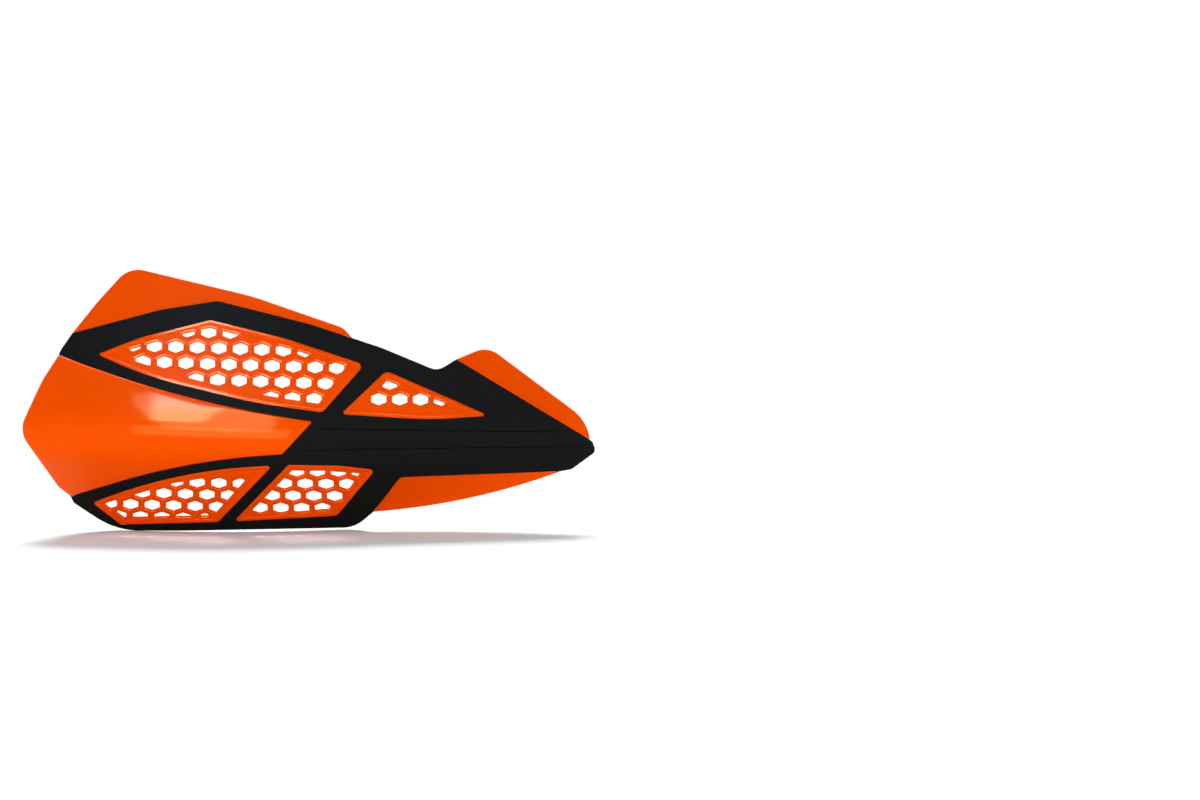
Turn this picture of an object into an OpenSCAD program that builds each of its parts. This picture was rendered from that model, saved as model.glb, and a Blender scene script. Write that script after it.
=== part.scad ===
// Motorcycle hand guard, the one whose pointed inner end is to the right when seen from the front.
// X runs along the handlebar towards the inner end, -Y faces the wind and Z is up.
// The origin is on the mounting face at the back, midway between the two threaded inserts.

/* [Wall] */
// Wall of the orange shell
shell_t = 2.5; // [2:0.1:3.5]
// Height of the black layer above the face of the shell
cover_t = 1.2; // [0.8:0.1:2]
// Height of the centre panel above the face of the shell
panel_t = 1.5; // [1:0.1:2.4]
// Height of the rims round the honeycomb above the face of the shell
rim_t = 0.9; // [0.5:0.1:1.4]
// Height of the honeycomb above the face of the shell
field_t = 0.3; // [0.1:0.1:0.4]
// Width of black that wraps round the edge of the shell
wrap_w = 2.4; // [1.6:0.1:3]

/* [Section] */
// Lean of the wall above the keel, in degrees from upright
upper_lean = 40; // [30:1:46]
// Lean of the wall below the keel, in degrees from upright
lower_lean = 42; // [34:1:48]
// Radius of the keel on the face of the shell
keel_r = 23; // [16:1:30]
// Height of the keel above the mount
keel_z = 4.5; // [2:0.5:8]
// Fall of the keel towards the nose, in degrees
keel_fall = 2; // [0:0.5:4]
// Angle between the way the mould opens and the axis of the mount, in degrees
draw_tilt = 6; // [2:1:9]

/* [Plan] */
// Radius of the hand area, seen from above
plan_r = 205; // [185:5:240]
// Angle of the straight stem, seen from above
stem_turn = 16; // [10:1:20]
// Distance from the mount out to the foremost point
front_reach = 125; // [115:1:135]
// Distance from the mounting face forward to the keel
stand_off = 20; // [18:0.5:26]

/* [Outline] */
// Distance from the mount to the outer end
outer_reach = 218.5; // [210:0.5:235]
// Distance from the mount to the tip of the nose
inner_reach = 67.5; // [62:0.5:80]
// Height of the wing above the mount
wing_h = 88; // [82:0.5:100]
// Height of the fin above the mount
fin_h = 48; // [45:0.5:56]
// Depth of the lower lip below the mount
base_h = 42.5; // [41:0.5:52]
// Height of the black band's peak above the mount
band_h = 72; // [70:0.5:76]
// Width of the black band above the upper grille
band_w = 9.5; // [7:0.5:12]
// Width of the black lip below the lower grilles
lip_w = 3.8; // [3:0.1:5]
// Height of the step from the lower lip up to the blade
blade_step = 9.5; // [7:0.5:12]

/* [Honeycomb] */
// Spacing of the openings along a row, on the wall
cell_pitch = 10.8; // [10:0.1:13]
// Width of an opening across its upright sides
cell_w = 7.5; // [6:0.1:8]
// Height of an opening above the keel, seen along the draw
upper_cell_h = 6; // [4.8:0.1:6.6]
// Height of an opening below the keel, seen along the draw
lower_cell_h = 5; // [3.6:0.1:5.2]
// Width of the raised rim round each grille
rim_w = 1.4; // [1:0.1:1.8]

/* [Stem grooves] */
// Width of the grooves along the stem
groove_w = 0.7; // [0.5:0.1:1.2]
// Depth of the grooves along the stem
groove_d = 0.5; // [0.2:0.1:0.6]

/* [Mount] */
// Distance between the two inserts
mount_pitch = 38; // [32:1:44]
// Diameter of the round bosses
boss_d = 15; // [14:0.5:17]
// Wall of the box round the bosses
box_wall = 2.5; // [2:0.1:3]
// Height of the box round the bosses
box_h = 21; // [19:0.5:23]
// Length of the box beyond each insert
box_end = 13; // [11:0.5:16]
// Diameter of an insert
insert_d = 8.6; // [8:0.1:9.4]
// Length of an insert
insert_l = 9; // [7:0.5:9.5]
// Diameter of the threaded hole, at the crests of an M6 thread
thread_d = 5; // [4.8:0.1:5.2]
// Diameter of the bolt's clearance hole behind an insert
relief_d = 6.6; // [6.2:0.1:7]
// Depth of the bolt's clearance hole, from the end of the insert
relief_l = 1.5; // [0.5:0.1:2]

/* [Hidden] */

// Room added to cutting bodies, and the reach of the prisms
over = 6;
prism_l = 240;
section_steps = 12;

// Place of the plan centre, and the stretch of sweep that each end needs
tail_turn = asin((outer_reach - front_reach) / (plan_r - 50)) + 1;
stem_start = (front_reach - plan_r * sin(stem_turn)) / cos(stem_turn);
plan_y = plan_r * cos(stem_turn) - stem_start * sin(stem_turn) - stand_off;
stem_l = stem_start + inner_reach / cos(stem_turn) + 2 * over;
top_z = wing_h + 2 * over;
bottom_z = -base_h - 3 * over;

// The hand area's outlines are drawn this long from the waist, and stretched to its real length
waist = -45;
drawn_l = 173.5;
stretch = (outer_reach + waist) / drawn_l;

// Outlines seen along the draw of the mould, as corners of [x, z, radius]
tail = waist - drawn_l;
nose = inner_reach;
base = -base_h;
blade = base + blade_step;

cover_corners = [
    [tail + 24.2, band_h - 15.5, 0],
    [-150, band_h - 3.8, 60],
    [-121.5, band_h + 0.6, 6],
    [-76, band_h - 10.8, 80],
    [-40, 49.4, 60],
    [-11.5, fin_h - 10.4, 7],
    [-2, fin_h - 4.6, 0],
    [nose - 1.3, 2.3, 3],
    [nose + 0.5, -2.8, 3],
    [nose - 11.7, -11.7, 4],
    [nose - 17, -12.7, 30],
    [-30, -15.7, 4],
    [-43.5, blade, 12],
    [-53, base + 1.6, 16],
    [-140, base, 0],
    [tail + 46, base, 40],
    [tail + 24.8, base + 14, 4],
    [tail + 23.4, -25.3, 0],
    [tail + 17.6, band_h - 26.2, 0],
    [tail + 18.6, band_h - 23.8, 2]
];

wing_corners = [
    [tail + 24.2, band_h - 15.5, 0],
    [tail + 36.4, wing_h - 16, 50],
    [tail + 52.4, wing_h + 1.8, 13],
    [-104, wing_h - 13.1, 120],
    [-58.7, band_h - 12.8, 8],
    [-50, band_h - 22.5, 0],
    [tail + 30, band_h - 22, 0]
];

fin_corners = [
    [-4, fin_h - 10, 0],
    [-2, fin_h - 4.6, 0],
    [13.6, fin_h + 2, 11.5],
    [nose - 2.5, 11.6, 22],
    [nose - 2.4, 0, 0],
    [nose - 8, -1, 0]
];

blade_corners = [
    [-43.5, blade, 0],
    [4.3, blade + 3.8, 340],
    [nose - 14.5, -11.8, 0],
    [nose - 30, -8, 0],
    [-30, -10, 0]
];

panel_corners = [
    [tail + 17.6, band_h - 26.2, 0],
    [tail + 9.5, band_h - 39, 50],
    [tail - 2.1, 7.4, 12.5],
    [tail + 17.5, -20.8, 10],
    [tail + 23.4, -25.3, 0],
    [-132.6, -6.7, 340],
    [-88.6, -4.3, 1.5],
    [-73.3, 12.3, 0.8],
    [-142.4, 22.9, 560]
];

upper_grille_corners = [
    [tail + 37.2, 45.9, 0.8],
    [-160.1, band_h - band_w - 8.3, 60],
    [-124.9, band_h - band_w + 0.6, 4],
    [-88.2, band_h - band_w - 8.5, 60],
    [-47.8, 40.7, 2.5],
    [-68.7, 16.7, 3.5],
    [-102.2, 21.6, 200],
    [-159.1, 35.4, 205]
];

stem_grille_corners = [
    [-59.5, 15.9, 1],
    [-37, 37.6, 4],
    [14.5, 15.1, 0.8],
    [-15.3, 13.1, 200]
];

outer_grille_corners = [
    [tail + 34.4, -28.5, 1],
    [-141.6, -12.1, 255],
    [-93.4, -9.8, 1],
    [-121.2, base + lip_w + 0.6, 2],
    [tail + 48.2, base + lip_w - 0.7, 2]
];

inner_grille_corners = [
    [-85.6, -9.4, 1],
    [-60.1, -9.8, 30],
    [-42.2, -11.9, 1.5],
    [-61.8, base + lip_w + 3.7, 4],
    [-113.4, base + lip_w + 0.9, 1]
];

// Where the openings of each grille may lie
upper_window = [
    [tail + 51.5, 47.6],
    [-140.5, band_h - band_w - 7],
    [-125.5, band_h - band_w - 3.5],
    [-108, band_h - band_w - 7.6],
    [-84, band_h - band_w - 14.3],
    [-57, 40],
    [-70.6, 21.2],
    [-88, 23.8],
    [-104, 26.5],
    [-127.8, 32],
    [-143.8, 36.3],
    [tail + 55, 42.8]
];
stem_window = [
    [-47, 19.5],
    [-45.4, 23.7],
    [-36.6, 32.5],
    [-2, 19.2]
];
outer_window = [
    [tail + 40.4, -28.8],
    [-143, -18.6],
    [-121, -14.9],
    [-105.4, -15.1],
    [-123.6, base + lip_w + 4.1],
    [tail + 50.2, base + lip_w + 3.2]
];
inner_window = [
    [-83.8, -12.3],
    [-68, -12.4],
    [-50.2, -13.7],
    [-62.5, base + lip_w + 7.7],
    [-80, base + lip_w + 6.1],
    [-105.6, base + lip_w + 5.1]
];

// Honeycomb of each grille: a cell's centre, how far a row falls for each mm to the right,
// how far the next row up is shifted, and how close the rows lie
upper_cells = [[-104.7, 40.4], 0.033, 0.2, 1];
stem_cells = [[-30.2, 23.3], 0.01, 0.2, 1];
outer_cells = [[-137.3, -23.9], 0.03, 0.65, 0.93];
inner_cells = [[-67, -18.8], 0.008, 1, 0.97];

// Unit vector along v
function unit(v) = v / norm(v);

// Place along the handlebar of what is drawn at x
function along_bar(x) = x < waist ? waist + (x - waist) * stretch : x;

// Length of one straight piece of an arc, in degrees
function arc_step(r) = r > 60 ? 1.6 : r > 20 ? 4 : 12;

// Points that round corner p, between corners a and b, with a radius that the shorter side has room for
function rounded(a, p, b) =
    let (
        at = [p[0], p[1]],
        u = [a[0], a[1]] - at,
        v = [b[0], b[1]] - at,
        half = acos(unit(u) * unit(v)) / 2,
        r = min(p[2], 0.97 * min(norm(u), norm(v)) * tan(half)),
        centre = at + unit(unit(u) + unit(v)) * r / sin(half),
        from = at + unit(u) * r / tan(half) - centre,
        to = at + unit(v) * r / tan(half) - centre,
        start = atan2(from[1], from[0]),
        turn = (atan2(to[1], to[0]) - start + 540) % 360 - 180,
        steps = ceil(abs(turn) / arc_step(r))
    )
    r == 0 ? [at] :
    [for (i = [0:steps]) centre + r * [cos(start + turn * i / steps), sin(start + turn * i / steps)]];

// Closed outline through a list of drawn corners
function outline(drawn) =
    let (
        n = len(drawn),
        c = [for (p = drawn) [along_bar(p[0]), p[1], p[2]]]
    )
    [for (i = [0:n - 1]) each rounded(c[(i + n - 1) % n], c[i], c[(i + 1) % n])];

// Distance from point p in from the nearest edge of a convex window that runs clockwise
function depth_inside(window, p) =
    let (n = len(window))
    min([for (i = [0:n - 1])
        let (a = window[i], along = unit(window[(i + 1) % n] - a))
        along[1] * (p[0] - a[0]) - along[0] * (p[1] - a[1])]);

// Half of the section of the surface that lies t in front of the shell's face,
// as [distance from the plan centre, height], from the base up
function section(t) =
    let (
        r = keel_r + t,
        centre = [plan_r - keel_r, keel_z],
        low = centre + r * [cos(lower_lean), -sin(lower_lean)],
        high = centre + r * [cos(upper_lean), sin(upper_lean)],
        sweep_angle = upper_lean + lower_lean
    )
    concat(
        [[low[0] - (low[1] - bottom_z) * tan(lower_lean), bottom_z]],
        [for (i = [0:section_steps])
            let (a = -lower_lean + sweep_angle * i / section_steps)
            centre + r * [cos(a), sin(a)]],
        [[high[0] - (top_z - high[1]) * tan(upper_lean), top_z]]
    );

function backwards(list) = [for (i = [len(list) - 1:-1:0]) list[i]];

// Section of the layer between two heights above the shell's face
module layer(inner, outer) {
    polygon(concat(section(outer), backwards(section(inner))));
}

// Carries a section round the hand area and along the straight stem
module sweep() {
    rotate([0, keel_fall, 0])
        translate([-front_reach, plan_y, 0]) {
            rotate_extrude(angle = tail_turn + stem_turn, start = -90 - tail_turn, $fn = 180)
                children();
            rotate([0, 0, stem_turn - 90])
                translate([0, stem_l, 0])
                    rotate([90, 0, 0])
                        linear_extrude(stem_l)
                            children();
        }
}

// Prism along the draw of the mould
module prism() {
    rotate([90 - draw_tilt, 0, 0])
        linear_extrude(prism_l, center = true)
            children();
}

module everything_2d() {
    translate([-outer_reach - over, bottom_z - over])
        square([outer_reach + inner_reach + 3 * over, top_z - bottom_z + 2 * over]);
}

module cover_2d() {
    polygon(outline(cover_corners));
}

module panel_2d() {
    polygon(outline(panel_corners));
}

module grilles_2d() {
    polygon(outline(upper_grille_corners));
    polygon(outline(stem_grille_corners));
    polygon(outline(outer_grille_corners));
    polygon(outline(inner_grille_corners));
}

module whole_2d() {
    cover_2d();
    panel_2d();
    polygon(outline(wing_corners));
    polygon(outline(fin_corners));
    polygon(outline(blade_corners));
}

module frame_2d() {
    difference() {
        cover_2d();
        panel_2d();
        grilles_2d();
    }
}

// Edge strips where the black goes through the whole wall
module wrap_2d() {
    difference() {
        frame_2d();
        offset(r = -wrap_w, $fn = 32)
            whole_2d();
    }
}

module shell_2d() {
    difference() {
        whole_2d();
        wrap_2d();
    }
}

// Openings of one grille, on a wall that faces that many degrees off the draw.
// Its window clips them, and one that would be a mere slit is left out.
module cells_2d(drawn_window, cells, facing, cell_h) {
    window = [for (p = drawn_window) [along_bar(p[0]), p[1]]];
    middle = [along_bar(cells[0][0]), cells[0][1]];
    local_turn = min(stem_turn, abs(asin((middle[0] + front_reach) / plan_r)));
    pitch = cell_pitch * cos(local_turn);
    row = cell_pitch * sqrt(3) / 2 * cos(facing) * cells[3];
    along = [pitch, -pitch * cells[1]];
    up = [pitch / 2 + cells[2], row];
    intersection() {
        polygon(window);
        for (j = [-6:6], i = [-14:14]) {
            at = middle + i * along + j * up;
            if (depth_inside(window, at) > -0.35 * cell_h)
                translate(at)
                    polygon([
                        [0, cell_h / 2], [cell_w / 2, cell_h / 4], [cell_w / 2, -cell_h / 4],
                        [0, -cell_h / 2], [-cell_w / 2, -cell_h / 4], [-cell_w / 2, cell_h / 4]
                    ]);
        }
    }
}

module honeycomb_2d() {
    cells_2d(upper_window, upper_cells, upper_lean - draw_tilt, upper_cell_h);
    cells_2d(stem_window, stem_cells, upper_lean - draw_tilt, upper_cell_h);
    cells_2d(outer_window, outer_cells, lower_lean + draw_tilt, lower_cell_h);
    cells_2d(inner_window, inner_cells, lower_lean + draw_tilt, lower_cell_h);
}

module fields_2d() {
    offset(delta = -rim_w)
        grilles_2d();
}

// Cuts the front of the shell down to one height over an outline
module lower_front(height) {
    intersection() {
        sweep()
            layer(height, panel_t + over);
        prism()
            children();
    }
}

// Walls behind the stem that carry the inserts
module mount_2d() {
    length = mount_pitch + 2 * box_end;
    difference() {
        square([length, box_h], center = true);
        square([length - 2 * box_wall, box_h - 2 * box_wall], center = true);
    }
    square([length, box_wall], center = true);
    square([box_wall, box_h], center = true);
    for (side = [-1, 1])
        translate([side * mount_pitch / 2, 0])
            circle(d = boss_d, $fn = 48);
}

module mount_box() {
    intersection() {
        rotate([90, 0, 0])
            linear_extrude(stand_off + 2 * over)
                mount_2d();
        sweep()
            polygon(concat(section(-shell_t / 2), [[plan_r / 2, top_z], [plan_r / 2, bottom_z]]));
    }
}

// Outside of an insert, with the neck that keeps it in the boss
module insert_blank() {
    neck_d = insert_d - 1.2;
    rotate([90, 0, 0])
        rotate_extrude($fn = 48)
            polygon([
                [0, 0], [insert_d / 2, 0], [insert_d / 2, insert_l * 0.35], [neck_d / 2, insert_l * 0.45],
                [neck_d / 2, insert_l * 0.6], [insert_d / 2, insert_l * 0.7], [insert_d / 2, insert_l],
                [0, insert_l]
            ]);
}

module insert() {
    difference() {
        insert_blank();
        translate([0, over, 0])
            rotate([90, 0, 0])
                cylinder(d = thread_d, h = insert_l + 2 * over, $fn = 48);
    }
}

module shell() {
    color("#f35000")
        difference() {
            union() {
                intersection() {
                    sweep()
                        layer(-shell_t, panel_t);
                    prism()
                        shell_2d();
                }
                mount_box();
            }
            lower_front(rim_t)
                difference() {
                    everything_2d();
                    panel_2d();
                }
            lower_front(0)
                difference() {
                    everything_2d();
                    panel_2d();
                    grilles_2d();
                }
            lower_front(field_t)
                fields_2d();
            prism()
                honeycomb_2d();
            for (side = [-1, 1])
                translate([side * mount_pitch / 2, 0, 0]) {
                    insert_blank();
                    rotate([90, 0, 0])
                        cylinder(d = relief_d, h = insert_l + relief_l, $fn = 48);
                }
        }
}

module groove_2d(from, to) {
    polygon([from, to + [0, groove_w / 2], to - [0, groove_w / 2], from - [0, groove_w]]);
}

module frame() {
    color("#1c1c1c")
        difference() {
            intersection() {
                sweep()
                    layer(-shell_t, cover_t);
                prism()
                    frame_2d();
            }
            intersection() {
                sweep()
                    layer(-shell_t - over, 0);
                prism()
                    shell_2d();
            }
            intersection() {
                sweep()
                    layer(cover_t - groove_d, cover_t + over);
                prism() {
                    groove_2d([-70, 8.9], [nose - 19, 7]);
                    groove_2d([-76.5, -1.7], [nose - 8.5, -0.2]);
                }
            }
        }
}

module insert_outer() {
    color("goldenrod")
        translate([-mount_pitch / 2, 0, 0])
            insert();
}

module insert_inner() {
    color("goldenrod")
        translate([mount_pitch / 2, 0, 0])
            insert();
}

shell();
frame();
insert_outer();
insert_inner();
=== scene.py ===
# Looks of a motorcycle hand guard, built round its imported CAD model.
# Lengths are in millimetres up to the point where a mesh is made. X runs along the handlebar,
# -Y faces the wind and Z is up. Outlines lie in the plane seen along the draw of the mould,
# as (x, v), where v is the upward direction in that plane. Lamps and the floor are in metres.
import math

import bpy
import numpy as np
from mathutils import Matrix, Vector
from mathutils.geometry import delaunay_2d_cdt


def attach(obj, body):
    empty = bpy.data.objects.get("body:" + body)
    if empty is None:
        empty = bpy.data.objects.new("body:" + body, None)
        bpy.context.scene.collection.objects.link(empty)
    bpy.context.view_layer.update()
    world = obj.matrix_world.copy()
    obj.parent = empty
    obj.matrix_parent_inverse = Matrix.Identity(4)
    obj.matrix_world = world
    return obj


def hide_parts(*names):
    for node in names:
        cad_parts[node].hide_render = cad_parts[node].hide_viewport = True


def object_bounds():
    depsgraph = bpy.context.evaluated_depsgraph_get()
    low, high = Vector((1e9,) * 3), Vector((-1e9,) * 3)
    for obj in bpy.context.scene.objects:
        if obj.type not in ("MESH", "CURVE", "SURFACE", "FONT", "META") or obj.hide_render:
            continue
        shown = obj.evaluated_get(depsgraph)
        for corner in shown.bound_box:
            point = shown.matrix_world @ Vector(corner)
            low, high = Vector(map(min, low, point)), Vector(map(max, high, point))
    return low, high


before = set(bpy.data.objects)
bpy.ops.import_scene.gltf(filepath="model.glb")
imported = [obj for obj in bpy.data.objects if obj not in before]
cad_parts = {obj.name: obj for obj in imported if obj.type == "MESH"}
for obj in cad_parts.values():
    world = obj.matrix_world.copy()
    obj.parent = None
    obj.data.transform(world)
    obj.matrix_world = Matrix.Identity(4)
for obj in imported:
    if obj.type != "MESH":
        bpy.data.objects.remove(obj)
cad_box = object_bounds()

MM = 0.001

# Thickness of the shell, and heights above its face: the frame, the centre panel, and the rim and
# the field of a grille. Then the widths of the frame's turn round the edge and of the rim.
SHELL_T = 2.5
COVER_T = 1.2
PANEL_T = 1.5
RIM_T = 0.9
FIELD_T = 0.3
WRAP_W = 2.4
RIM_W = 1.4

# Section and plan
UPPER_LEAN = math.radians(40)
LOWER_LEAN = math.radians(42)
KEEL_R = 23.0
KEEL_Z = 4.5
KEEL_FALL = math.radians(2)
DRAW_TILT = math.radians(6)
PLAN_R = 205.0
STEM_TURN = math.radians(16)
FRONT_REACH = 125.0
STAND_OFF = 20.0
STEM_START = (FRONT_REACH - PLAN_R * math.sin(STEM_TURN)) / math.cos(STEM_TURN)
PLAN_Y = PLAN_R * math.cos(STEM_TURN) - STEM_START * math.sin(STEM_TURN) - STAND_OFF

# Outline
TAIL = -218.5
NOSE = 67.5
WING_H = 88.0
FIN_H = 48.0
BASE = -42.5
BAND_H = 72.0
BAND_W = 9.5
LIP_W = 3.8
BLADE = BASE + 9.5

# Honeycomb. A cell opens if its centre lies no further outside the window than this share of its
# height, and the rows and columns are those on each side of the middle.
CELL_PITCH = 10.8
CELL_W = 7.5
UPPER_CELL_H = 6.0
LOWER_CELL_H = 5.0
SLIT = -0.35
ROWS = 6
COLUMNS = 14

# Mount
MOUNT_PITCH = 38.0
BOSS_R = 7.5
BOX_WALL = 2.5
BOX_H = 21.0
BOX_END = 13.0
INSERT_R = 4.3
INSERT_L = 9.0
INSERT_GAP = 0.005
RELIEF_R = 3.3
RELIEF_L = 1.5

# Thread of the inserts: pitch, radius at the crests and at the roots, countersink at both ends, and
# the height and fall of the line that its flank follows
THREAD_PITCH = 1.0
THREAD_CREST = 2.5
THREAD_ROOT = 3.05
THREAD_LEAD = 0.25
FLANK_START = 1.15
FLANK_FALL = 1.3

# Radii of the rounded edges and of the corners of an opening, half of the parting gap between the
# two colours, half of the slope of a rim, and the height of the frame's underside over the shell
OUTER_EDGE = 0.6
PANEL_EDGE = 0.7
INNER_EDGE = 0.3
HOLE_EDGE = 0.25
BACK_EDGE = 0.4
HOLE_CORNER = 0.5
GAP = 0.04
RIM_SLOPE = 0.25
SEAT = 0.01

# Shares of the gap from which a point and a triangle belong to a face, and share of the frame's
# rounded edge up to which the shell is plain
GAP_SHARE = 0.9
MIDDLE_SHARE = 0.85
COVER_EDGE_SHARE = 0.9

# Shallow recess round each opening, and the crown of the centre panel towards its edge
RECESS_W = 1.0
RECESS_D = 0.32
RECESS_SLOPE = 0.24
CROWN_W = 5.0
CROWN_H = 0.35

# Mesh density: longest side of an outline, an opening and the mount box, longest turn of a rounded
# corner, pitch of the grid between the lines and the share of it that stays free beside them, sides
# of a circle, radius of a line on the bottom of a bore, and sides and rows of a thread
STEP = 2.0
HOLE_STEP = 1.0
BOX_STEP = 1.5
ARC_STEP = math.radians(15)
GRID = 2.2
GRID_ROOM = 0.45
CIRCLE_SIDES = 64
BORE_LINE = 1.7
THREAD_SIDES = 48
THREAD_ROWS_PER_MM = 10

# Largest share of a side that a rounded corner takes, in an outline and in an opening
ROUND_SHARE = 0.97
HOLE_ROUND_SHARE = 0.42

# Tolerances: how near points of a net are merged and points of a line dropped, the shortest side of
# a line that is cut out, the area of a sliver, and the distance from a line within which the line's
# own normals tell the way
MERGE = 0.002
SAME = 1e-4
MIN_SIDE = 0.05
SLIVER = 1e-7
NEAR = 0.02

# Shares of a rounded edge at which the net has a line
EDGE_SHARES = (0.08, 0.3, 0.62, 1.0)

# Steepest slope of a rounded edge, and the rounds and starts of the searches for the surface
STEEPEST = 25.0
SEARCH_ROUNDS = 12
SEARCH_START = 30.0
BOX_SEARCH_START = -20

# Sides of a line and points that are worked on at once
LINE_CHUNK = 200
POINT_CHUNK = 3000

# The plane seen along the draw: across, up and out towards the viewer
ACROSS = np.array([1.0, 0.0, 0.0])
UP = np.array([0.0, math.sin(DRAW_TILT), math.cos(DRAW_TILT)])
OUT = np.array([0.0, -math.cos(DRAW_TILT), math.sin(DRAW_TILT)])

cover_corners = [
    (TAIL + 24.2, BAND_H - 15.5, 0),
    (-150, BAND_H - 3.8, 60),
    (-121.5, BAND_H + 0.6, 6),
    (-76, BAND_H - 10.8, 80),
    (-40, 49.4, 60),
    (-11.5, FIN_H - 10.4, 7),
    (-2, FIN_H - 4.6, 0),
    (NOSE - 1.3, 2.3, 3),
    (NOSE + 0.5, -2.8, 3),
    (NOSE - 11.7, -11.7, 4),
    (NOSE - 17, -12.7, 30),
    (-30, -15.7, 4),
    (-43.5, BLADE, 12),
    (-53, BASE + 1.6, 16),
    (-140, BASE, 0),
    (TAIL + 46, BASE, 40),
    (TAIL + 24.8, BASE + 14, 4),
    (TAIL + 23.4, -25.3, 0),
    (TAIL + 17.6, BAND_H - 26.2, 0),
    (TAIL + 18.6, BAND_H - 23.8, 2),
]
wing_corners = [
    (TAIL + 24.2, BAND_H - 15.5, 0),
    (TAIL + 36.4, WING_H - 16, 50),
    (TAIL + 52.4, WING_H + 1.8, 13),
    (-104, WING_H - 13.1, 120),
    (-58.7, BAND_H - 12.8, 8),
    (-50, BAND_H - 22.5, 0),
    (TAIL + 30, BAND_H - 22, 0),
]
fin_corners = [
    (-4, FIN_H - 10, 0),
    (-2, FIN_H - 4.6, 0),
    (13.6, FIN_H + 2, 11.5),
    (NOSE - 2.5, 11.6, 22),
    (NOSE - 2.4, 0, 0),
    (NOSE - 8, -1, 0),
]
blade_corners = [
    (-43.5, BLADE, 0),
    (4.3, BLADE + 3.8, 340),
    (NOSE - 14.5, -11.8, 0),
    (NOSE - 30, -8, 0),
    (-30, -10, 0),
]
panel_corners = [
    (TAIL + 17.6, BAND_H - 26.2, 0),
    (TAIL + 9.5, BAND_H - 39, 50),
    (TAIL - 2.1, 7.4, 12.5),
    (TAIL + 17.5, -20.8, 10),
    (TAIL + 23.4, -25.3, 0),
    (-132.6, -6.7, 340),
    (-88.6, -4.3, 1.5),
    (-73.3, 12.3, 0.8),
    (-142.4, 22.9, 560),
]
upper_grille_corners = [
    (TAIL + 37.2, 45.9, 0.8),
    (-160.1, BAND_H - BAND_W - 8.3, 60),
    (-124.9, BAND_H - BAND_W + 0.6, 4),
    (-88.2, BAND_H - BAND_W - 8.5, 60),
    (-47.8, 40.7, 2.5),
    (-68.7, 16.7, 3.5),
    (-102.2, 21.6, 200),
    (-159.1, 35.4, 205),
]
stem_grille_corners = [
    (-59.5, 15.9, 1),
    (-37, 37.6, 4),
    (14.5, 15.1, 0.8),
    (-15.3, 13.1, 200),
]
outer_grille_corners = [
    (TAIL + 34.4, -28.5, 1),
    (-141.6, -12.1, 255),
    (-93.4, -9.8, 1),
    (-121.2, BASE + LIP_W + 0.6, 2),
    (TAIL + 48.2, BASE + LIP_W - 0.7, 2),
]
inner_grille_corners = [
    (-85.6, -9.4, 1),
    (-60.1, -9.8, 30),
    (-42.2, -11.9, 1.5),
    (-61.8, BASE + LIP_W + 3.7, 4),
    (-113.4, BASE + LIP_W + 0.9, 1),
]

# Where the openings of each grille may lie
upper_window = [
    (TAIL + 51.5, 47.6),
    (-140.5, BAND_H - BAND_W - 7),
    (-125.5, BAND_H - BAND_W - 3.5),
    (-108, BAND_H - BAND_W - 7.6),
    (-84, BAND_H - BAND_W - 14.3),
    (-57, 40),
    (-70.6, 21.2),
    (-88, 23.8),
    (-104, 26.5),
    (-127.8, 32),
    (-143.8, 36.3),
    (TAIL + 55, 42.8),
]
stem_window = [
    (-47, 19.5),
    (-45.4, 23.7),
    (-36.6, 32.5),
    (-2, 19.2),
]
outer_window = [
    (TAIL + 40.4, -28.8),
    (-143, -18.6),
    (-121, -14.9),
    (-105.4, -15.1),
    (-123.6, BASE + LIP_W + 4.1),
    (TAIL + 50.2, BASE + LIP_W + 3.2),
]
inner_window = [
    (-83.8, -12.3),
    (-68, -12.4),
    (-50.2, -13.7),
    (-62.5, BASE + LIP_W + 7.7),
    (-80, BASE + LIP_W + 6.1),
    (-105.6, BASE + LIP_W + 5.1),
]

# Window, a cell's centre, fall of a row per mm, shift of the next row up, closeness of the rows,
# turn off the draw and height
UPPER_TURN = UPPER_LEAN - DRAW_TILT
LOWER_TURN = LOWER_LEAN + DRAW_TILT
grille_cells = [
    (upper_window, (-104.7, 40.4), 0.033, 0.2, 1, UPPER_TURN, UPPER_CELL_H),
    (stem_window, (-30.2, 23.3), 0.01, 0.2, 1, UPPER_TURN, UPPER_CELL_H),
    (outer_window, (-137.3, -23.9), 0.03, 0.65, 0.93, LOWER_TURN, LOWER_CELL_H),
    (inner_window, (-67, -18.8), 0.008, 1, 0.97, LOWER_TURN, LOWER_CELL_H),
]

# Grooves along the stem, from end to end, with their width and depth
grooves = [((-70, 8.55), (NOSE - 19, 7)), ((-76.5, -2.05), (NOSE - 8.5, -0.2))]
GROOVE_W = 0.7
GROOVE_D = 0.5


def unit(v):
    """A vector at length 1."""
    return v / np.linalg.norm(v)


def units(rows):
    """Each row of an array at length 1."""
    return rows / np.linalg.norm(rows, axis=1)[:, None]


def rounded(before, corner, after, step, share):
    """Points that round a corner of (x, v, radius) between its neighbours."""
    at = np.array(corner[:2], float)
    u, v = np.array(before[:2], float) - at, np.array(after[:2], float) - at
    half = math.acos(np.clip(unit(u) @ unit(v), -1, 1)) / 2
    r = min(corner[2], share * min(np.linalg.norm(u), np.linalg.norm(v)) * math.tan(half))
    if r <= 0:
        return [at]
    centre = at + unit(unit(u) + unit(v)) * r / math.sin(half)
    first = at + unit(u) * r / math.tan(half) - centre
    last = at + unit(v) * r / math.tan(half) - centre
    start = math.atan2(first[1], first[0])
    turn = (math.atan2(last[1], last[0]) - start + 3 * math.pi) % (2 * math.pi) - math.pi
    count = max(2, math.ceil(abs(turn) * r / step), math.ceil(abs(turn) / ARC_STEP))
    angles = start + turn * np.linspace(0, 1, count + 1)
    return [centre + r * np.array([math.cos(a), math.sin(a)]) for a in angles]


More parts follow.
